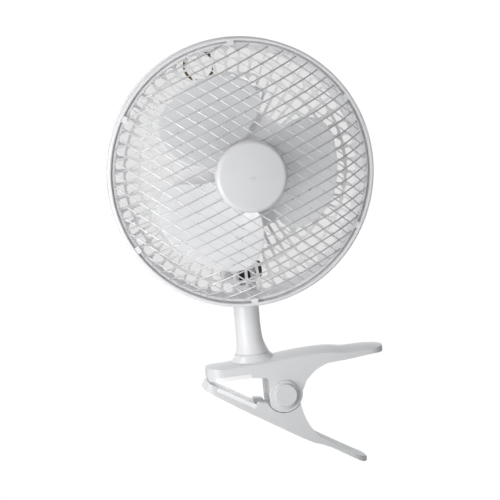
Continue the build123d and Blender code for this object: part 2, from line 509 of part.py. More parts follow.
# collar that carries the neck
collar = loft([Pos(NECK_X + c, 0, z) * Ellipse(rx, ry) for z, c, rx, ry in
               [(8.0, 2.0, 17.8, 10.9), (12.0, 2.0, 16.3, 11.05), (14.0, 1.9, 14.3, 11.5), (16.1, 1.5, 12.75, 12.2)]])
collar += Pos(SWIVEL_OFF + NECK_X, 0, 0) * turned_z([(0, 15.8), (12.0, 15.8), (12.0, 16.15), (11.65, 16.5), (0, 16.5)])
arm += collar - block(-40, 80, -30, 30, 0, 9.0)
arm -= cyl_z(SPIGOT_R + RUN, 5, 20, NECK_X + SWIVEL_OFF, 0)
save("upper_clip_arm", arm)

pad = block(-13.0, 13.0, -ARM_HALF, ARM_HALF, 0, PAD_T)
pad = pad & nose
grooves = [side([(x - 0.7, -0.1), (x + 0.7, -0.1), (x + 0.25, 0.8), (x - 0.25, 0.8)], 10.5) for x in [s * (1.5 + 3.0 * i) for i in range(4) for s in (-1, 1)]]
pad = pad - grooves
save("upper_jaw_pad", pad)

# ================================================================== pivot pin, caps and torsion spring
save("pivot_pin", cyl_y(PIN_R, -17.4, 17.4, PIVOT_X, PIVOT_Z))
caps = []
for sy in (-1, 1):
    c = turned_y([(0, BOSS_Y), (8.4, BOSS_Y), (8.4, CAP_Y, 0.9), (0, CAP_Y)])
    c -= cyl_y(PIN_R, 15, 17.4)
    caps.append(Pos(PIVOT_X, 0, PIVOT_Z) * (Rot(0, 0, 0 if sy > 0 else 180) * c))
save("pivot_caps", caps)

SPRING_R, SPRING_WIRE = 5.6, 0.8
LEG_START, LEG_LEN = (58.7, 10.2), 23.85   # where the first leg meets the upper arm's roof, and the second leg's length
y0, coil_n = -5.4, 41
pitch = 1.9
n8 = 8
rp = SPRING_R / cos(pi / n8)
pts = [(LEG_START[0] - PIVOT_X, y0, LEG_START[1] - PIVOT_Z)]
first = atan2(pts[0][2], pts[0][0])
a_start = first + acos(SPRING_R / hypot(pts[0][0], pts[0][2])) + pi / n8
for i in range(coil_n + 1):
    a = a_start + 2 * pi * i / n8
    pts.append((rp * cos(a), y0 + pitch * i / n8, rp * sin(a)))
last_a = a_start + 2 * pi * coil_n / n8 + pi / n8
tx, tz = -sin(last_a), cos(last_a)
pts.append((SPRING_R * cos(last_a) + LEG_LEN * tx, y0 + pitch * coil_n / n8, SPRING_R * sin(last_a) + LEG_LEN * tz))
print("spring leg end", pts[-1][0] + PIVOT_X, pts[-1][2] + PIVOT_Z)
radii = []
for a, p, b in zip(pts, pts[1:], pts[2:]):
    va, vb = Vector(*p) - Vector(*a), Vector(*b) - Vector(*p)
    turn = radians(va.get_angle(vb))
    radii.append(0.46 * min(va.length, vb.length) / tan(turn / 2))
spath = FilletPolyline(*pts, radius=radii)
spring = sweep(Plane(spath @ 0, z_dir=spath % 0) * Circle(SPRING_WIRE), spath)
save("torsion_spring", Pos(PIVOT_X, 0, PIVOT_Z) * spring)

# ================================================================== lower clip arm
ux, uz = 0.8556, -0.5176          # direction of the lower jaw's gripping face
nx, nz = -0.5176, -0.8556         # its inward normal
A = (-12.0, -3.93)
B = (15.4, -20.5)
low_pts = [
    (-17.6, -0.5, 0.5), A, (A[0] + nx * PAD_T, A[1] + nz * PAD_T), (B[0] + nx * PAD_T, B[1] + nz * PAD_T), B,
    (16.9, -19.0, 0.6), (22.6, -20.0), (PIVOT_X, PIVOT_Z), (47.6, -23.2, 0.6), (49.0, -31.2, 40), (51.9, -38.9, 40), (55.9, -45.5, 20),
    (61.2, -51.6, 10), (76.3, -61.0, 60), (88.0, -68.1, 40), (96.0, -71.8, 1.0), (94.9, -74.8, 1.3), (90.6, -73.7, 8), (77.4, -65.5, 60), (70.0, -60.7, 40),
    (62.6, -56.8, 60), (55.1, -54.2, 30), (44.1, -47.8), (4.4, -22.6), (-21.0, -5.4, 1.0), (-21.4, -4.9, 0.3)]
low = side(low_pts, ARM_HALF)
low -= cyl_y(LOBE_R + 0.6, -20, 20, PIVOT_X, PIVOT_Z)
ears = side([(20.5, -24.0), (20.0, -33.0), (36.0, -42.0), (48.0, -46.0), (49.0, -34.0), (45.0, -24.0), (PIVOT_X, PIVOT_Z)], 9.9)
ears += cyl_y(11.0, -9.9, 9.9, PIVOT_X, PIVOT_Z)
low += ears
low -= side([(19.0, -29.2, 1.5), (44.5, -45.2, 4), (52.5, -49.4, 2), (46.6, -38.0, 5), (60.0, -10.0), (60, 20), (14, 20), (14.0, -19.8)], 7.4)
low_nose = extrude(rounded([(-21.6, -ARM_HALF, 7.5), (130, -ARM_HALF), (130, ARM_HALF), (-21.6, ARM_HALF, 7.5)]), amount=90, both=True)
low_tip = extrude(rounded([(-40, -ARM_HALF), (96.0, -ARM_HALF, TIP_ROUND), (96.0, ARM_HALF, TIP_ROUND), (-40, ARM_HALF)]), amount=90, both=True)
low = low & low_nose & low_tip
low -= cyl_y(PIN_R + RUN, -30, 30, PIVOT_X, PIVOT_Z)
save("lower_clip_arm", low)

lpad = side([A, B, (B[0] + nx * PAD_T, B[1] + nz * PAD_T), (A[0] + nx * PAD_T, A[1] + nz * PAD_T)], ARM_HALF)
length = hypot(B[0] - A[0], B[1] - A[1])
cuts = []
s = 2.0
while s < length - 1.5:
    cx, cz = A[0] + ux * s, A[1] + uz * s
    q = [(-0.7, -0.1), (0.7, -0.1), (0.25, 0.8), (-0.25, 0.8)]
    cuts.append(side([(cx + ux * p + nx * d, cz + uz * p + nz * d) for p, d in q], 10.5))
    s += 3.0
lpad = (lpad & low_nose) - cuts
save("lower_jaw_pad", lpad)
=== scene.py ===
import json
from math import acos, atan2, cos, hypot, pi, radians, sin, sqrt, tan

import bmesh
import bpy
import numpy as np
from mathutils import Matrix, Vector


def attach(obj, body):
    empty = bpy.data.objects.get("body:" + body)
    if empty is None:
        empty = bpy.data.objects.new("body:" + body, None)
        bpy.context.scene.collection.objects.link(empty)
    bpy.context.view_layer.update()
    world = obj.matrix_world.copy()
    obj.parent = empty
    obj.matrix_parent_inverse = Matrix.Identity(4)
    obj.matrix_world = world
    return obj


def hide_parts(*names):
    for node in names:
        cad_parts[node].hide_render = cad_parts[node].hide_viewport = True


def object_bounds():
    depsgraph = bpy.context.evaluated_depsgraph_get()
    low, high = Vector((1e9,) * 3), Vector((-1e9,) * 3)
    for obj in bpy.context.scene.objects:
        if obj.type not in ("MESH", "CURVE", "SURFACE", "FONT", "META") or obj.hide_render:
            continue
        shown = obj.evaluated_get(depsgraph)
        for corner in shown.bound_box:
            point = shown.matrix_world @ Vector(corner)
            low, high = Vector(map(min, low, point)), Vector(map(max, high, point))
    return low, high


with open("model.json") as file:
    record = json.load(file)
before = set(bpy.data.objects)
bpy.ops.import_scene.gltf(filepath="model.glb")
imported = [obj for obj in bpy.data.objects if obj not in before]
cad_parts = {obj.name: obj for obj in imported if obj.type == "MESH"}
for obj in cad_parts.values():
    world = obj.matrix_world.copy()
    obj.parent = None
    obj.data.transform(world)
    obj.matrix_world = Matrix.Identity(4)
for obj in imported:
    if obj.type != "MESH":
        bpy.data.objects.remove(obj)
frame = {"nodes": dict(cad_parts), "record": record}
cad_lo, cad_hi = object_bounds()
nodes = frame["nodes"]
scene = bpy.context.scene

# ------------------------------------------------------------------ geometry shared with the frame (mm)
FAN = np.array([16.0, -36.0, 151.5])          # centre of the guard's rim groove
PIVOT = (36.3, -14.9)
DOME_H, DOME_R, DOME_P, DOME_Q, INSET = 33.7, 91.5, 4.34, 0.90, 1.25
WIRE_R = 0.52
OUTER = (21.3, 2.29, 7.55, 89.9)              # direction, offset, pitch, end radius
INNER = (-37.83, 3.59, 7.34, 90.0)


def to_row(p):
    """Head-frame millimetres to row-frame metres."""
    return (np.asarray(p, float) + FAN) / 1000.0


def mesh_object(name, verts, faces, sharp=None):
    me = bpy.data.meshes.new(name)
    me.from_pydata([tuple(v) for v in verts], [], [tuple(f) for f in faces])
    me.validate()
    bm = bmesh.new()
    bm.from_mesh(me)
    bmesh.ops.recalc_face_normals(bm, faces=bm.faces)
    bm.to_mesh(me)
    bm.free()
    me.polygons.foreach_set("use_smooth", [True] * len(me.polygons))
    if sharp is not None:
        me.set_sharp_from_angle(angle=radians(sharp))
    ob = bpy.data.objects.new(name, me)
    scene.collection.objects.link(ob)
    return ob


class Build:
    """Collects several closed shells into one mesh."""

    def __init__(self):
        self.v, self.f, self.n = [], [], 0

    def add(self, verts, faces):
        self.v.append(np.asarray(verts, float))
        self.f += [tuple(i + self.n for i in face) for face in faces]
        self.n += len(verts)

    def object(self, name, sharp=None):
        return mesh_object(name, np.concatenate(self.v), self.f, sharp)


def tube(points, radius, sides=10, domed=True):
    """A round bar along points, with domed ends."""
    pts = np.asarray(points, float)
    tan_ = np.gradient(pts, axis=0)
    tan_ /= np.linalg.norm(tan_, axis=1)[:, None]
    side_ = np.cross(tan_[0], [0.0, 0.0, 1.0])
    if np.linalg.norm(side_) < 1e-3:
        side_ = np.cross(tan_[0], [0.0, 1.0, 0.0])
    side_ /= np.linalg.norm(side_)
    frames = []
    for t in tan_:
        side_ = side_ - t * side_.dot(t)
        side_ /= np.linalg.norm(side_)
        frames.append((side_.copy(), np.cross(t, side_)))
    stations = [(pts[i], frames[i], radius) for i in range(len(pts))]
    if domed:
        for ph in (0.45, 0.95, 1.3):
            stations.insert(0, (pts[0] - tan_[0] * radius * 0.8 * sin(ph), frames[0], radius * cos(ph)))
            stations.append((pts[-1] + tan_[-1] * radius * 0.8 * sin(ph), frames[-1], radius * cos(ph)))
    verts, faces = [], []
    for c, (a, b), r in stations:
        for k in range(sides):
            w = 2 * pi * k / sides
            verts.append(c + (a * cos(w) + b * sin(w)) * r)
    rows = len(stations)
    for i in range(rows - 1):
        for k in range(sides):
            j = (k + 1) % sides
            faces.append((i * sides + k, i * sides + j, (i + 1) * sides + j, (i + 1) * sides + k))
    faces.append(tuple(range(sides))[::-1])
    faces.append(tuple(range((rows - 1) * sides, rows * sides)))
    return verts, faces


# ------------------------------------------------------------------ wire guard: two pressed layers of parallel wires
def dome(r):
    return DOME_H * np.maximum(0.0, 1 - (np.asarray(r, float) / DOME_R) ** DOME_P) ** (1 / DOME_Q)


R0 = np.linspace(0.01, DOME_R - 0.02, 2400)
SLOPE = (dome(R0 + 0.01) - dome(R0 - 0.01)) / 0.02
KK = 1 / np.sqrt(1 + SLOPE ** 2)
IN_R, IN_Z = R0 + SLOPE * KK * INSET, dome(R0) - KK * INSET
keep = np.concatenate([[True], np.diff(np.maximum.accumulate(IN_R)) > 0])
IN_R, IN_Z = IN_R[keep], IN_Z[keep]


def inner_dome(r):
    r = np.asarray(r, float)
    z = np.interp(r, IN_R, IN_Z)
    return np.where(r > IN_R[-1], IN_Z[-1] + (IN_Z[-1] - IN_Z[-3]) / (IN_R[-1] - IN_R[-3]) * (r - IN_R[-1]), z)


def wire_points(layer, profile, d):
    direction, _, _, end_r = layer
    half = sqrt(end_r ** 2 - d ** 2)
    t = np.linspace(-half, half, 2400)
    z = profile(np.hypot(d, t))
    step = np.hypot(np.diff(t), np.diff(z))
    ang = np.arctan2(np.diff(z), np.diff(t))
    turn = np.abs(np.diff(ang, prepend=ang[0]))
    weight = np.concatenate([[0], np.cumsum(step / 2.6 + turn / radians(3.2))])
    n = int(weight[-1]) + 2
    pick = np.interp(np.linspace(0, weight[-1], n), weight, np.arange(len(t)))
    tt = np.interp(pick, np.arange(len(t)), t)
    zz = profile(np.hypot(d, tt))
    c, s = cos(radians(direction)), sin(radians(direction))
    return to_row(np.stack([tt * c - d * s, -zz, tt * s + d * c], 1))


def layer_offsets(layer):
    return [layer[1] + k * layer[2] for k in range(-13, 14) if abs(layer[1] + k * layer[2]) <= 87.0]


def wire_layer(name, layer, profile):
    b = Build()
    for d in layer_offsets(layer):
        b.add(*tube(wire_points(layer, profile, d), WIRE_R / 1000, 10))
    return b


def ellipsoid(centre, axes, rings=5, sides=8):
    """Small closed blob: axes are three vectors from the centre."""
    a, b, c = axes
    verts = [centre + c]
    for i in range(1, rings):
        ph = pi * i / rings
        for k in range(sides):
            w = 2 * pi * k / sides
            verts.append(centre + (a * cos(w) + b * sin(w)) * sin(ph) + c * cos(ph))
    verts.append(centre - c)
    faces = [(0, 1 + k, 1 + (k + 1) % sides) for k in range(sides)]
    for i in range(rings - 2):
        for k in range(sides):
            j = (k + 1) % sides
            faces.append((1 + i * sides + k, 1 + (i + 1) * sides + k, 1 + (i + 1) * sides + j, 1 + i * sides + j))
    last = len(verts) - 1
    faces += [(last, 1 + (rings - 2) * sides + (k + 1) % sides, 1 + (rings - 2) * sides + k) for k in range(sides)]
    return verts, faces


outer = wire_layer("guard_mesh_outer", OUTER, dome)
inner = wire_layer("guard_mesh_inner", INNER, inner_dome)

# spot welds where the two layers cross
ca, sa = cos(radians(OUTER[0])), sin(radians(OUTER[0]))
cb, sb = cos(radians(INNER[0])), sin(radians(INNER[0]))
rng = np.random.default_rng(7)
for da in layer_offsets(OUTER):
    for db in layer_offsets(INNER):
        m = np.array([[-sa, ca], [-sb, cb]])
        x, z = np.linalg.solve(m, [da, db])
        r = hypot(x, z)
        if r > 88.2:
            continue
        ya, yb = -float(dome(r)), -float(inner_dome(r))
        slope = float((dome(r + 0.05) - dome(r - 0.05)) / 0.1)
        rad = np.array([x, 0, z]) / max(r, 1e-6)
        nrm = np.array([0, -1.0, 0]) - slope * rad
        nrm /= np.linalg.norm(nrm)
        along = np.array([ca, 0, sa])
        along -= nrm * along.dot(nrm)
        along /= np.linalg.norm(along)
        across = np.cross(nrm, along)
        k = (0.46 + 0.06 * rng.random()) / 1000
        centre = to_row([x, ya, z]) - nrm * 0.62 / 1000
        outer.add(*ellipsoid(centre, (along * k, across * k, nrm * 0.36 / 1000)))
guard_outer = outer.object("guard_mesh_outer")
guard_inner = inner.object("guard_mesh_inner")
for ob, node in ((guard_outer, "guard_wires_outer"), (guard_inner, "guard_wires_inner")):
    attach(ob, "head")
    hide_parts(node)

# ------------------------------------------------------------------ impeller: three broad blades on a hollow hub
LEAD = [(15.9, 197.4), (20, 195.2), (26, 192.0), (32.5, 189.2), (38, 187.0), (43, 185.5), (48, 185.0), (52.5, 186.3), (56.5, 189.4),
        (60, 193.2), (63, 197.4), (65.5, 202.4), (67.5, 207.6), (69.0, 213.6), (69.8, 220.0), (70.0, 226.5)]
TRAIL = [(15.9, 288.2), (20, 288.0), (26, 287.6), (32.5, 286.9), (38, 285.8), (43, 284.4), (48, 282.4), (52.5, 280.2), (56.5, 277.8),
         (60, 275.2), (63, 272.4), (65.5, 269.6), (67.5, 266.6), (69.0, 263.2), (69.8, 259.6), (70.0, 255.5)]


def blade_y(theta, r):
    s = (theta - 185.0) / 103.0
    return 12.6 - 23.6 * s + 10.0 * s * (1 - s) * r / 70.0


def smooth_curve(points, per=14):
    """Centripetal interpolation through planar points."""
    p = np.asarray(points, float)
    p = np.vstack([2 * p[0] - p[1], p, 2 * p[-1] - p[-2]])
    out = []
    for i in range(1, len(p) - 2):
        t = [0.0]
        for a, b in ((i - 1, i), (i, i + 1), (i + 1, i + 2)):
            t.append(t[-1] + max(1e-6, np.linalg.norm(p[b] - p[a])) ** 0.5)
        for s in np.linspace(t[1], t[2], per, endpoint=False):
            a1 = (t[1] - s) / (t[1] - t[0]) * p[i - 1] + (s - t[0]) / (t[1] - t[0]) * p[i]
            a2 = (t[2] - s) / (t[2] - t[1]) * p[i] + (s - t[1]) / (t[2] - t[1]) * p[i + 1]
            a3 = (t[3] - s) / (t[3] - t[2]) * p[i + 1] + (s - t[2]) / (t[3] - t[2]) * p[i + 2]
            b1 = (t[2] - s) / (t[2] - t[0]) * a1 + (s - t[0]) / (t[2] - t[0]) * a2
            b2 = (t[3] - s) / (t[3] - t[1]) * a2 + (s - t[1]) / (t[3] - t[1]) * a3
            out.append((t[2] - s) / (t[2] - t[1]) * b1 + (s - t[1]) / (t[2] - t[1]) * b2)
    out.append(p[-2])
    return np.array(out)


def polar(rows):
    return [(r * cos(radians(a)), r * sin(radians(a))) for r, a in rows]


outline = smooth_curve(polar(LEAD + [(70.0, 241.0)] + TRAIL[::-1]))
lead_curve = smooth_curve(polar(LEAD + [(70.0, 241.0)]))
trail_curve = smooth_curve(polar(TRAIL + [(70.0, 241.0)]))


def edge_angle(curve, r):
    rr = np.hypot(curve[:, 0], curve[:, 1])
    aa = np.degrees(np.arctan2(curve[:, 1], curve[:, 0])) % 360
    keep = np.maximum.accumulate(rr) <= rr + 1e-9
    return float(np.interp(r, rr[keep], aa[keep]))


def blade_mesh(n_chord=44, edge=7):
    """Grid of the blade: tapered thickness, rounded edge, flared root."""
    stations = list(np.concatenate([
        [15.9, 16.5, 17.05, 17.5, 18.0, 18.6, 19.4], np.linspace(20.5, 62, 26), np.linspace(63, 68.2, 9), [68.7, 69.1, 69.35, 69.55, 69.7, 69.8]]))
    w0 = 1.0
    dist = [0, 0.10, 0.26, 0.48, 0.75, 1.1, 1.7]
    rows = []
    for r in stations:
        a, b = edge_angle(lead_curve, r), edge_angle(trail_curve, r)
        chord = radians(b - a) * r
        us = [d / chord for d in dist]
        us = us + list(np.linspace(us[-1], 1 - us[-1], n_chord + 2)[1:-1]) + [1 - u for u in us[::-1]]
        rows.append([(r, a + (b - a) * u) for u in us])
    ncol = len(rows[0])
    mid, nrm, half = [], [], []
    seg_a, seg_b = outline[:-1], outline[1:]
    seg_d = seg_b - seg_a
    seg_l = (seg_d ** 2).sum(1)
    for i, row in enumerate(rows):
        for j, (r, th) in enumerate(row):
            p = np.array([r * cos(radians(th)), blade_y(th, r), r * sin(radians(th))])
            pr = np.array([(r + 0.1) * cos(radians(th)), blade_y(th, r + 0.1), (r + 0.1) * sin(radians(th))])
            pt = np.array([r * cos(radians(th + 0.1)), blade_y(th + 0.1, r), r * sin(radians(th + 0.1))])
            n = np.cross(pr - p, pt - p)
            n /= np.linalg.norm(n)
            q = np.array([p[0], p[2]])
            k = np.clip(((q - seg_a) * seg_d).sum(1) / np.maximum(seg_l, 1e-12), 0, 1)
            d = np.sqrt((((seg_a + seg_d * k[:, None]) - q) ** 2).sum(1)).min()
            if j in (0, ncol - 1):
                d = 0.0
            t = 2.1 - 0.7 * (r - 16) / 54
            if r < 19.2:
                g = max(0.0, 1 - (r - 17.0) / 2.0)
                t += 1.7 * min(1.0, g) ** 2
            e = min(1.0, d / w0)
            half.append(t / 2 * sqrt(max(0.0, 1 - (1 - e) ** 2)))
            mid.append(p)
            nrm.append(n)
    mid, nrm, half = np.array(mid), np.array(nrm), np.array(half)
    tip_a, tip_b = edge_angle(lead_curve, 69.8), edge_angle(trail_curve, 69.8)
    # closing row on the tip circle
    tip = []
    for j in range(ncol):
        th = rows[-1][j][1]
        tip.append((70.0 * cos(radians(th)), blade_y(th, 70.0), 70.0 * sin(radians(th))))
    nr = len(rows)
    top, bottom = mid + nrm * half[:, None], mid - nrm * half[:, None]
    verts = [*top]
    bot_index = {}
    for i in range(nr):
        for j in range(ncol):
            if j in (0, ncol - 1):
                bot_index[i, j] = i * ncol + j
            else:
                bot_index[i, j] = len(verts)
                verts.append(bottom[i * ncol + j])
    tip_index = []
    for j in range(ncol):
        if j in (0, ncol - 1):
            tip_index.append((nr - 1) * ncol + j)
        else:
            tip_index.append(len(verts))
            verts.append(np.array(tip[j]))
    faces = []
    for i in range(nr - 1):
        for j in range(ncol - 1):
            faces.append((i * ncol + j, i * ncol + j + 1, (i + 1) * ncol + j + 1, (i + 1) * ncol + j))
            faces.append((bot_index[i, j], bot_index[i + 1, j], bot_index[i + 1, j + 1], bot_index[i, j + 1]))
    for j in range(ncol - 1):
        a0, a1 = (nr - 1) * ncol + j, (nr - 1) * ncol + j + 1
        faces.append(tuple(dict.fromkeys((a0, a1, tip_index[j + 1], tip_index[j]))))
        faces.append(tuple(dict.fromkeys((bot_index[nr - 1, j], tip_index[j], tip_index[j + 1], bot_index[nr - 1, j + 1]))))
    for j in range(ncol - 1):
        faces.append(tuple(dict.fromkeys((j, bot_index[0, j], bot_index[0, j + 1], j + 1))))
    faces = [f for f in faces if len(f) > 2]
    return np.array(verts), faces


def profile_round(pts):
    """(r, y, radius) corners to a fine polyline."""
    out = []
    n = len(pts)
    for i in range(n):
        p = np.array(pts[i][:2], float)
        rad = pts[i][2] if len(pts[i]) > 2 else 0
        if not rad or i in (0, n - 1):
            out.append(p)
            continue
        u = np.array(pts[i - 1][:2]) - p
        v = np.array(pts[i + 1][:2]) - p
        u, v = u / np.linalg.norm(u), v / np.linalg.norm(v)
        halfang = acos(max(-1, min(1, u.dot(v)))) / 2
        t = rad / tan(halfang)
        c = p + (u + v) / np.linalg.norm(u + v) * rad / sin(halfang)
        a, b = p + u * t - c, p + v * t - c
        a0, a1 = atan2(a[1], a[0]), atan2(b[1], b[0])
        da = (a1 - a0 + pi) % (2 * pi) - pi
        for k in range(9):
            w = a0 + da * k / 8
            out.append(c + rad * np.array([cos(w), sin(w)]))
    return out


def revolve_y(pts, sides=96):
    """Closed shell of revolution about the head's Y axis, from a polyline that starts and ends on the axis."""
    verts, faces, rings = [], [], []
    for r, y in pts:
        if r < 1e-6:
            rings.append([len(verts)])
            verts.append((0, y, 0))
        else:
            rings.append(list(range(len(verts), len(verts) + sides)))
            verts += [(r * cos(2 * pi * k / sides), y, r * sin(2 * pi * k / sides)) for k in range(sides)]
    for a, b in zip(rings, rings[1:]):
        for k in range(sides):
            j = (k + 1) % sides
            f = (a[k % len(a)], a[j % len(a)], b[j % len(b)], b[k % len(b)])
            f = tuple(dict.fromkeys(f))
            if len(f) > 2:
                faces.append(f)
    return np.array(verts, float), faces


wheel = Build()
hub_profile = profile_round([
    (0, -21.6), (14.0, -21.6, 3.0), (17.0, -19.6, 2.4), (17.0, 14.0, 0.45), (15.2, 14.0, 0.45), (15.2, -18.6, 1.5), (6.0, -18.6, 0.8),
    (6.0, 10.0, 0.5), (2.52, 10.0, 0.2), (2.52, -15.0), (0, -15.0)])
v, f = revolve_y(hub_profile)
wheel.add(to_row(v), f)
bv, bf = blade_mesh()
for k in range(3):
    w = radians(120 * k)
    rot = np.array([[cos(w), 0, sin(w)], [0, 1, 0], [-sin(w), 0, cos(w)]])
    wheel.add(to_row(bv @ rot.T), bf)
for k in range(3):
    w = radians(120 * k + 40)
    rot = np.array([[cos(w), 0, sin(w)], [0, 1, 0], [-sin(w), 0, cos(w)]])
    y0, y1, r0_, r1_ = -18.8, 6.0, 5.6, 15.6
    sec = [(-0.8, 0), (-0.8, 1), (0.8, 1), (0.8, 0)]
    rib = []
    for rr in (r0_, r1_):
        rib += [(rr, y0, -0.8), (rr, y1 - 0.4, -0.8), (rr, y1, -0.4), (rr, y1, 0.4), (rr, y1 - 0.4, 0.8), (rr, y0, 0.8)]
    ribf = [tuple(range(6)), tuple(range(11, 5, -1))] + [(i, (i + 1) % 6, 6 + (i + 1) % 6, 6 + i) for i in range(6)]
    wheel.add(to_row(np.array(rib) @ rot.T), ribf)
impeller = wheel.object("impeller_moulding", sharp=48)
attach(impeller, "impeller")
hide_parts("impeller")

# ------------------------------------------------------------------ clip spring: wound coil and its two legs
R, N8 = 5.6, 8
start = (58.7 - PIVOT[0], 10.2 - PIVOT[1])
first = atan2(start[1], start[0])
a0 = first + acos(R / hypot(*start))
a_end = a0 + pi / N8 + 2 * pi * 41 / N8 + pi / N8
y_start, y_end = -5.4, -5.4 + 1.9 * 41 / N8
turns = np.linspace(a0, a_end, 260)
frac = (turns - a0) / (a_end - a0)
coil = np.stack([R * np.cos(turns), y_start + (y_end - y_start) * frac, R * np.sin(turns)], 1)
leg0 = np.array([[start[0] + (coil[0, 0] - start[0]) * k, y_start, start[1] + (coil[0, 2] - start[1]) * k] for k in np.linspace(0, 0.97, 14)])
end_dir = np.array([-sin(a_end), 0, cos(a_end)])
leg1 = np.array([coil[-1] + end_dir * s for s in np.linspace(0.6, 23.6, 16)])
place = np.array([PIVOT[0], 0, PIVOT[1]])
spring = Build()
spring.add(*tube((np.vstack([leg0, coil]) + place) / 1000, 0.0008, 14))
spring_coil = spring.object("spring_coil")
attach(spring_coil, "clip_upper")
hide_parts("torsion_spring")
leg = Build()
leg.add(*tube((np.vstack([coil[-30:], leg1]) + place) / 1000, 0.00081, 14))
spring_leg = leg.object("spring_leg")
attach(spring_leg, "clip_lower")

# ------------------------------------------------------------------ raised speed numbers round the knob
KNOB = np.array([0.0, 20.5])


def back_surface(r):
    return 66.0 if r < 27 else 57.0 + sqrt(max(0.0, 81.0 - (r - 27.0) ** 2))


marks = Build()
for text, ang in (("0", 90), ("1", 45), ("2", 0)):
    cu = bpy.data.curves.new("mark_" + text, "FONT")
    cu.body, cu.size, cu.align_x, cu.align_y = text, 5.6, "CENTER", "CENTER"
    cu.offset = 0.14
    tmp = bpy.data.objects.new("mark_" + text, cu)
    scene.collection.objects.link(tmp)
    bpy.context.view_layer.update()
    me = bpy.data.meshes.new_from_object(tmp.evaluated_get(bpy.context.evaluated_depsgraph_get()))
    bm = bmesh.new()
    bm.from_mesh(me)
    bmesh.ops.remove_doubles(bm, verts=bm.verts, dist=1e-4)
    bmesh.ops.triangulate(bm, faces=bm.faces)
    ext = bmesh.ops.extrude_face_region(bm, geom=list(bm.faces))
    for ele in ext["geom"]:
        if isinstance(ele, bmesh.types.BMVert):
            ele.co.z += 1.0
    bm.verts.index_update()
    cx, cz = KNOB[0] + 13.0 * cos(radians(ang)), KNOB[1] + 13.0 * sin(radians(ang)) * (0.86 if ang == 90 else 1.0)
    vs = []
    for vert in bm.verts:
        x, z = cx - vert.co.x, cz + vert.co.y
        base = back_surface(hypot(x, z))
        vs.append((x, base - 0.25 + vert.co.z * 0.75, z))
    marks.add(to_row(vs), [tuple(q.index for q in fc.verts) for fc in bm.faces])
    bm.free()
    bpy.data.objects.remove(tmp)
    bpy.data.meshes.remove(me)
dial = marks.object("dial_numbers", sharp=35)
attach(dial, "head")


# ------------------------------------------------------------------ materials
def new_mat(name):
    m = bpy.data.materials.new(name)
    m.use_nodes = True
    nt = m.node_tree
    nt.nodes.clear()
    out = nt.nodes.new("ShaderNodeOutputMaterial")
    bsdf = nt.nodes.new("ShaderNodeBsdfPrincipled")
    nt.links.new(bsdf.outputs["BSDF"], out.inputs["Surface"])
    co = nt.nodes.new("ShaderNodeTexCoord")
    return m, nt, bsdf, co.outputs["Object"]


def noise(nt, vec, scale, detail=3.0, rough=0.5, stretch=None):
    if stretch:
        mp = nt.nodes.new("ShaderNodeMapping")
        mp.inputs["Scale"].default_value = stretch
        nt.links.new(vec, mp.inputs["Vector"])
        vec = mp.outputs["Vector"]
    n = nt.nodes.new("ShaderNodeTexNoise")
    n.inputs["Scale"].default_value = scale
    n.inputs["Detail"].default_value = detail
    n.inputs["Roughness"].default_value = rough
    nt.links.new(vec, n.inputs["Vector"])
    return n.outputs["Fac"]


def ranged(nt, value, lo, hi, a=0.3, b=0.7):
    m = nt.nodes.new("ShaderNodeMapRange")
    m.inputs["From Min"].default_value = a
    m.inputs["From Max"].default_value = b
    m.inputs["To Min"].default_value = lo
    m.inputs["To Max"].default_value = hi
    nt.links.new(value, m.inputs["Value"])
    return m.outputs["Result"]


def mixed(nt, fac, a, b, mode="MIX"):
    m = nt.nodes.new("ShaderNodeMix")
    m.data_type = "RGBA"
    m.blend_type = mode
    nt.links.new(fac, m.inputs["Factor"])
    for sock, val in ((m.inputs["A"], a), (m.inputs["B"], b)):
        if isinstance(val, (tuple, list)):
            sock.default_value = (*val, 1.0)
        else:
            nt.links.new(val, sock)
    return m.outputs["Result"]


def bumps(nt, bsdf, layers):
    prev = None
    for value, strength, dist in layers:
        b = nt.nodes.new("ShaderNodeBump")
        b.inputs["Strength"].default_value = strength
        b.inputs["Distance"].default_value = dist
        nt.links.new(value, b.inputs["Height"])
        if prev is not None:
            nt.links.new(prev, b.inputs["Normal"])
        prev = b.outputs["Normal"]
    nt.links.new(prev, bsdf.inputs["Normal"])


def shade(c, k):
    return tuple(max(0.0, min(1.0, x * k)) for x in c)


def plastic(name, color, rough=0.36, spread=0.05, vary=0.035, grain=0.10, fine=1500.0, wave=0.15, coat=0.0, tint=None, speck=0.01, metallic=0.0, depth=0.0, glow=0.0):
    """Moulded plastic: slow tone drift, faint speckle, uneven sheen, fine moulded texture and slight sinks; an optional
    glow paints light onto it.
    """
    m, nt, bsdf, vec = new_mat(name)
    slow = noise(nt, vec, 22.0, 3.0)
    tone = mixed(nt, ranged(nt, slow, 0, 1), shade(color, 1 - vary), tint or shade(color, 1 + vary * 0.6))
    spk = noise(nt, vec, fine * 0.6, 2.0)
    col = mixed(nt, ranged(nt, spk, 0.0, 1.0, 0.60, 0.80), tone, shade(color, 1 - speck * 6))
    nt.links.new(col, bsdf.inputs["Base Color"])
    nt.links.new(ranged(nt, noise(nt, vec, 90.0, 4.0), rough - spread, rough + spread), bsdf.inputs["Roughness"])
    bsdf.inputs["IOR"].default_value = 1.47
    bsdf.inputs["Metallic"].default_value = metallic
    if depth:
        bsdf.inputs["Subsurface Weight"].default_value = depth
        bsdf.inputs["Subsurface Radius"].default_value = (1.0, 1.0, 1.0)
        bsdf.inputs["Subsurface Scale"].default_value = 0.003
    if glow:                                   # painted light: a constant white glow that brightens the moulding where it sits in shade
        bsdf.inputs["Emission Color"].default_value = (1.0, 1.0, 1.0, 1.0)
        bsdf.inputs["Emission Strength"].default_value = glow
    if coat:
        bsdf.inputs["Coat Weight"].default_value = coat
        bsdf.inputs["Coat Roughness"].default_value = 0.08
    bumps(nt, bsdf, [(noise(nt, vec, 55.0, 2.0), wave, 0.0004), (noise(nt, vec, fine, 3.0, 0.6), grain, 0.00006)])
    return m


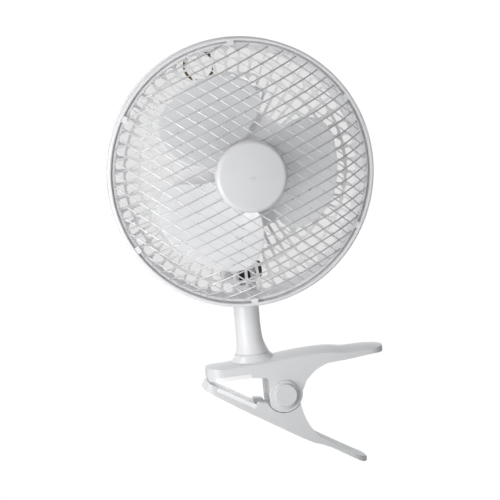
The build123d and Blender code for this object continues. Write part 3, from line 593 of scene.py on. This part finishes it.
def metal(name, color, rough=0.32, spread=0.08, stretch=(1, 1, 1), scale=600.0, vary=0.12, bump=0.12, patch=None):
    """Metal with fine drawn or rolled lines, and patches of a second tone."""
    m, nt, bsdf, vec = new_mat(name)
    lines = noise(nt, vec, scale, 4.0, 0.6, stretch)
    slow = noise(nt, vec, 120.0, 4.0)
    tone = mixed(nt, ranged(nt, lines, 0, 1), shade(color, 1 - vary), shade(color, 1 + vary))
    col = mixed(nt, ranged(nt, slow, 0, 1, 0.42, 0.66), tone, patch or shade(color, 0.86))
    nt.links.new(col, bsdf.inputs["Base Color"])
    bsdf.inputs["Metallic"].default_value = 1.0
    nt.links.new(ranged(nt, lines, rough - spread, rough + spread), bsdf.inputs["Roughness"])
    bumps(nt, bsdf, [(lines, bump, 0.00005)])
    return m


def banded(name, color, dark, per_mm, metallic, rough, axis="Y", depth=0.00012):
    """Stacked sheets or wound turns: bands along one axis with a tone drift."""
    m, nt, bsdf, vec = new_mat(name)
    w = nt.nodes.new("ShaderNodeTexWave")
    w.wave_type = "BANDS"
    w.bands_direction = axis
    w.inputs["Scale"].default_value = per_mm * 1000 / 20 * 2 * pi / 2
    w.inputs["Distortion"].default_value = 0.6
    w.inputs["Detail"].default_value = 1.0
    nt.links.new(vec, w.inputs["Vector"])
    slow = noise(nt, vec, 140.0, 3.0)
    tone = mixed(nt, w.outputs["Fac"], dark, color)
    col = mixed(nt, ranged(nt, slow, 0.0, 0.35), tone, shade(color, 0.7))
    nt.links.new(col, bsdf.inputs["Base Color"])
    bsdf.inputs["Metallic"].default_value = metallic
    nt.links.new(ranged(nt, slow, rough - 0.06, rough + 0.08), bsdf.inputs["Roughness"])
    bumps(nt, bsdf, [(w.outputs["Fac"], 0.6, depth)])
    return m


def pitted(name, color, rough=0.5):
    """Sintered bearing metal: small dark pores, oil film."""
    m, nt, bsdf, vec = new_mat(name)
    v = nt.nodes.new("ShaderNodeTexVoronoi")
    v.inputs["Scale"].default_value = 1800.0
    nt.links.new(vec, v.inputs["Vector"])
    pore = ranged(nt, v.outputs["Distance"], 0.0, 1.0, 0.10, 0.35)
    tone = mixed(nt, pore, shade(color, 0.35), color)
    nt.links.new(tone, bsdf.inputs["Base Color"])
    bsdf.inputs["Metallic"].default_value = 1.0
    nt.links.new(ranged(nt, noise(nt, vec, 200.0), rough - 0.1, rough + 0.1), bsdf.inputs["Roughness"])
    bumps(nt, bsdf, [(pore, 0.4, 0.00008)])
    return m


M = {
    "white_plastic": plastic("white_plastic", (0.83, 0.832, 0.845), rough=0.34),
    # painted light: a lighter copy of the white plastic with a faint glow, for the rear guard's shaded ribs and the
    # badge retainer
    "white_guard_painted_light": plastic("white_guard_painted_light", (0.90, 0.90, 0.91), rough=0.38, grain=0.16, depth=0.3, glow=0.015),
    "white_arm": plastic("white_arm", (0.775, 0.78, 0.788), rough=0.33, wave=0.22),
    "badge_white": plastic("badge_white", (0.725, 0.728, 0.735), rough=0.22, spread=0.03, grain=0.04, wave=0.10, coat=0.35),
    # painted light: the blades carry a faint constant glow that brightens them in the guard's shade
    "blade_white": plastic("blade_white", (0.82, 0.825, 0.835), rough=0.16, spread=0.03, grain=0.04, wave=0.16, coat=0.25, depth=0.6, glow=0.05),
    "wire_white": plastic("wire_white", (0.90, 0.895, 0.905), rough=0.30, spread=0.06, vary=0.03, grain=0.22, fine=2600.0, wave=0.0, metallic=0.2),
    # painted shade: the outer wire layer is the same white paint as the inner one, given a darker grey copy so it reads
    # shaded
    "wire_outer_painted_shade": plastic("wire_outer_painted_shade", (0.68, 0.672, 0.68), rough=0.30, spread=0.06, vary=0.05, grain=0.22, fine=2600.0, wave=0.0, metallic=0.35),
    "black_plastic": plastic("black_plastic", (0.022, 0.022, 0.025), rough=0.42, vary=0.25, grain=0.35, fine=2200.0, speck=0.03, tint=(0.04, 0.04, 0.045)),
    "bobbin_nylon": plastic("bobbin_nylon", (0.70, 0.65, 0.52), rough=0.5, vary=0.06),
    "fibre_washer": plastic("fibre_washer", (0.30, 0.11, 0.05), rough=0.65, vary=0.25, grain=0.5, fine=1400.0, speck=0.05),
    # painted light: a constant glow brightens the jaw pads in the shadow of the upper arm
    "pad_rubber": plastic("pad_rubber", (0.90, 0.902, 0.91), rough=0.62, spread=0.06, vary=0.05, grain=0.5, fine=1100.0, speck=0.02, depth=0.4, glow=0.13),
    "dark_bronze": metal("dark_bronze", (0.23, 0.17, 0.09), rough=0.30, spread=0.10, scale=500.0, vary=0.35, patch=(0.06, 0.045, 0.035)),
    "core_steel": banded("core_steel", (0.34, 0.35, 0.37), (0.10, 0.10, 0.11), 2.0, 1.0, 0.42),
    "copper_coil": banded("copper_coil", (0.62, 0.24, 0.10), (0.20, 0.06, 0.03), 2.6, 0.9, 0.30, depth=0.0003),
    "zinc_steel": metal("zinc_steel", (0.60, 0.61, 0.63), rough=0.34, scale=900.0, vary=0.10, patch=(0.46, 0.47, 0.50)),
    "sintered_bronze": pitted("sintered_bronze", (0.45, 0.30, 0.15)),
    "spring_steel": metal("spring_steel", (0.55, 0.56, 0.58), rough=0.26, stretch=(1, 1, 1), scale=1200.0, vary=0.10, patch=(0.40, 0.41, 0.43)),
}
slot_of = {s["node"]: s["material_slot"] for s in frame["record"]["subparts"]}


def dress(ob, material):
    me = ob.data
    me.materials.clear()
    me.materials.append(material)


for name, ob in nodes.items():
    slot = slot_of[name]
    # rear guard and badge retainer take the lighter copy with painted light instead of their own slot's material
    key = "white_guard_painted_light" if name in ("rear_guard", "badge_retainer") else slot
    dress(ob, M[key])
for ob, key in ((guard_outer, "wire_outer_painted_shade"), (guard_inner, "wire_white"), (impeller, "blade_white"), (spring_coil, "spring_steel"),
                (spring_leg, "spring_steel"), (dial, "black_plastic")):
    dress(ob, M[key])

# ------------------------------------------------------------------ camera, floor, light
WORLD_BASE, WORLD_BACK, WORLD_LEFT, WORLD_UP, FLOOR_GLOW = 0.2, 1.15, 0.12, 0.0, 0.0
LOW_POWER, STRIP_POWER, BROAD_POWER = 1.05, 0.6, 1.5
a, e, ro = radians(-9.8), radians(7.31), radians(5.48)
back_v = Vector((sin(a) * cos(e), -cos(a) * cos(e), sin(e)))
right_v = Vector((cos(a), sin(a), 0))
up_v = back_v.cross(right_v)
rr = right_v * cos(ro) - up_v * sin(ro)
uu = right_v * sin(ro) + up_v * cos(ro)
guard_centre = Vector((0.016, -0.036, 0.1515))
pos = guard_centre + back_v * 1.1 + rr * 0.00603 - uu * 0.05411
cam_data = bpy.data.cameras.new("camera")
cam_data.lens, cam_data.sensor_width, cam_data.sensor_fit = 112.95, 36.0, "HORIZONTAL"
cam_data.clip_start, cam_data.clip_end = 0.05, 30.0
cam = bpy.data.objects.new("camera", cam_data)
m = Matrix.Identity(4)
for i in range(3):
    m[i][0], m[i][1], m[i][2], m[i][3] = rr[i], uu[i], back_v[i], pos[i]
cam.matrix_world = m
scene.collection.objects.link(cam)
scene.camera = cam
scene.view_settings.view_transform = "Standard"
scene.view_settings.look = "None"

# painted shade: the backdrop and floor are a little less bright in one round patch, which lies behind the guard and
# stands in for the shade seen through it
PATCH_DIR = (guard_centre - pos).normalized()
SHADE_PATCH_LEVEL = 0.77
PATCH_IN, PATCH_OUT = cos(radians(4.45)), cos(radians(4.85))


def math_node(tree, op, a, b=None, c=None, clamp=False):
    n = tree.nodes.new("ShaderNodeMath")
    n.operation = op
    n.use_clamp = clamp
    for s, v in zip(n.inputs, (a, b, c)):
        if v is None:
            continue
        if isinstance(v, (int, float)):
            s.default_value = v
        else:
            tree.links.new(v, s)
    return n.outputs[0]


def smooth(tree, value, lo, hi, out_lo=0.0, out_hi=1.0):
    n = tree.nodes.new("ShaderNodeMapRange")
    n.interpolation_type = "SMOOTHSTEP"
    for key, v in (("From Min", lo), ("From Max", hi), ("To Min", out_lo), ("To Max", out_hi)):
        n.inputs[key].default_value = v
    tree.links.new(value, n.inputs["Value"])
    return n.outputs["Result"]


def dot(tree, vec, constant):
    n = tree.nodes.new("ShaderNodeVectorMath")
    n.operation = "DOT_PRODUCT"
    tree.links.new(vec, n.inputs[0])
    n.inputs[1].default_value = tuple(constant)
    return n.outputs["Value"]


bpy.ops.mesh.primitive_plane_add(size=12, location=(0.0, 0.0, float(cad_lo[2]) - 0.0002))
floor = bpy.context.active_object
floor.name = "floor"
fm = bpy.data.materials.new("floor_white")
fm.use_nodes = True
ft = fm.node_tree
ft.nodes.clear()
geo = ft.nodes.new("ShaderNodeNewGeometry")
ray = ft.nodes.new("ShaderNodeVectorMath")
ray.operation = "SUBTRACT"
ft.links.new(geo.outputs["Position"], ray.inputs[0])
ray.inputs[1].default_value = tuple(pos)
unit = ft.nodes.new("ShaderNodeVectorMath")
unit.operation = "NORMALIZE"
ft.links.new(ray.outputs[0], unit.inputs[0])
shown = ft.nodes.new("ShaderNodeEmission")
# painted shade: the floor's camera-ray brightness drops in the round patch behind the guard
ft.links.new(smooth(ft, dot(ft, unit.outputs[0], PATCH_DIR), PATCH_OUT, PATCH_IN, 1.02, SHADE_PATCH_LEVEL), shown.inputs["Strength"])
lit = ft.nodes.new("ShaderNodeBsdfDiffuse")
lit.inputs["Color"].default_value = (0.62, 0.62, 0.62, 1)
glow = ft.nodes.new("ShaderNodeEmission")
glow.inputs["Strength"].default_value = FLOOR_GLOW
both = ft.nodes.new("ShaderNodeAddShader")
ft.links.new(lit.outputs[0], both.inputs[0])
ft.links.new(glow.outputs[0], both.inputs[1])
fpath = ft.nodes.new("ShaderNodeLightPath")
fmix = ft.nodes.new("ShaderNodeMixShader")
ft.links.new(fpath.outputs["Is Camera Ray"], fmix.inputs["Fac"])
ft.links.new(both.outputs[0], fmix.inputs[1])
ft.links.new(shown.outputs[0], fmix.inputs[2])
fout = ft.nodes.new("ShaderNodeOutputMaterial")
ft.links.new(fmix.outputs[0], fout.inputs["Surface"])
floor.data.materials.append(fm)

# studio: a white backdrop behind, a softer wall on the left, dim in front, overhead and on the right
world = bpy.data.worlds.new("studio")
scene.world = world
world.use_nodes = True
wn = world.node_tree
wn.nodes.clear()
wout = wn.nodes.new("ShaderNodeOutputWorld")
tc = wn.nodes.new("ShaderNodeTexCoord")
sep = wn.nodes.new("ShaderNodeSeparateXYZ")
wn.links.new(tc.outputs["Generated"], sep.inputs[0])
level = math_node(wn, "ADD", smooth(wn, sep.outputs["Y"], 0.05, 0.65, WORLD_BASE, WORLD_BACK),
                  smooth(wn, sep.outputs["X"], -1.0, 0.3, WORLD_LEFT, 0.0))
level = math_node(wn, "ADD", level, smooth(wn, sep.outputs["Z"], 0.2, 1.0, 0.0, WORLD_UP))
bg = wn.nodes.new("ShaderNodeBackground")
bg.inputs["Color"].default_value = (0.975, 0.985, 1.0, 1)
wn.links.new(level, bg.inputs["Strength"])
white = wn.nodes.new("ShaderNodeBackground")
white.inputs["Color"].default_value = (1, 1, 1, 1)
# painted shade: the backdrop seen by the camera drops in the same round patch behind the guard
wn.links.new(smooth(wn, dot(wn, tc.outputs["Generated"], PATCH_DIR), PATCH_OUT, PATCH_IN, 1.02, SHADE_PATCH_LEVEL), white.inputs["Strength"])
path_ = wn.nodes.new("ShaderNodeLightPath")
mix = wn.nodes.new("ShaderNodeMixShader")
wn.links.new(path_.outputs["Is Camera Ray"], mix.inputs["Fac"])
wn.links.new(bg.outputs[0], mix.inputs[1])
wn.links.new(white.outputs[0], mix.inputs[2])
wn.links.new(mix.outputs[0], wout.inputs["Surface"])


def area(name, loc, target, size, power, size_y=None, color=(1, 1, 1)):
    li = bpy.data.lights.new(name, "AREA")
    li.energy, li.color = power, color
    li.shape = "RECTANGLE"
    li.size, li.size_y = size, size_y or size
    ob = bpy.data.objects.new(name, li)
    ob.location = loc
    ob.rotation_euler = (Vector(target) - Vector(loc)).to_track_quat("-Z", "Y").to_euler()
    ob.visible_camera = False
    scene.collection.objects.link(ob)
    return ob


area("low_key", (-0.42, -0.38, -0.01), (0.0, -0.04, 0.12), 0.30, LOW_POWER, 0.13)
strip = area("strip", (-0.515, -0.355, 0.15), (0.0, -0.02, 0.10), 0.09, STRIP_POWER, 0.48)
strip.visible_diffuse = False
broad = area("broad", (-0.27, -0.50, 0.20), (-0.02, -0.03, 0.10), 0.30, BROAD_POWER, 0.30)
broad.visible_glossy = False
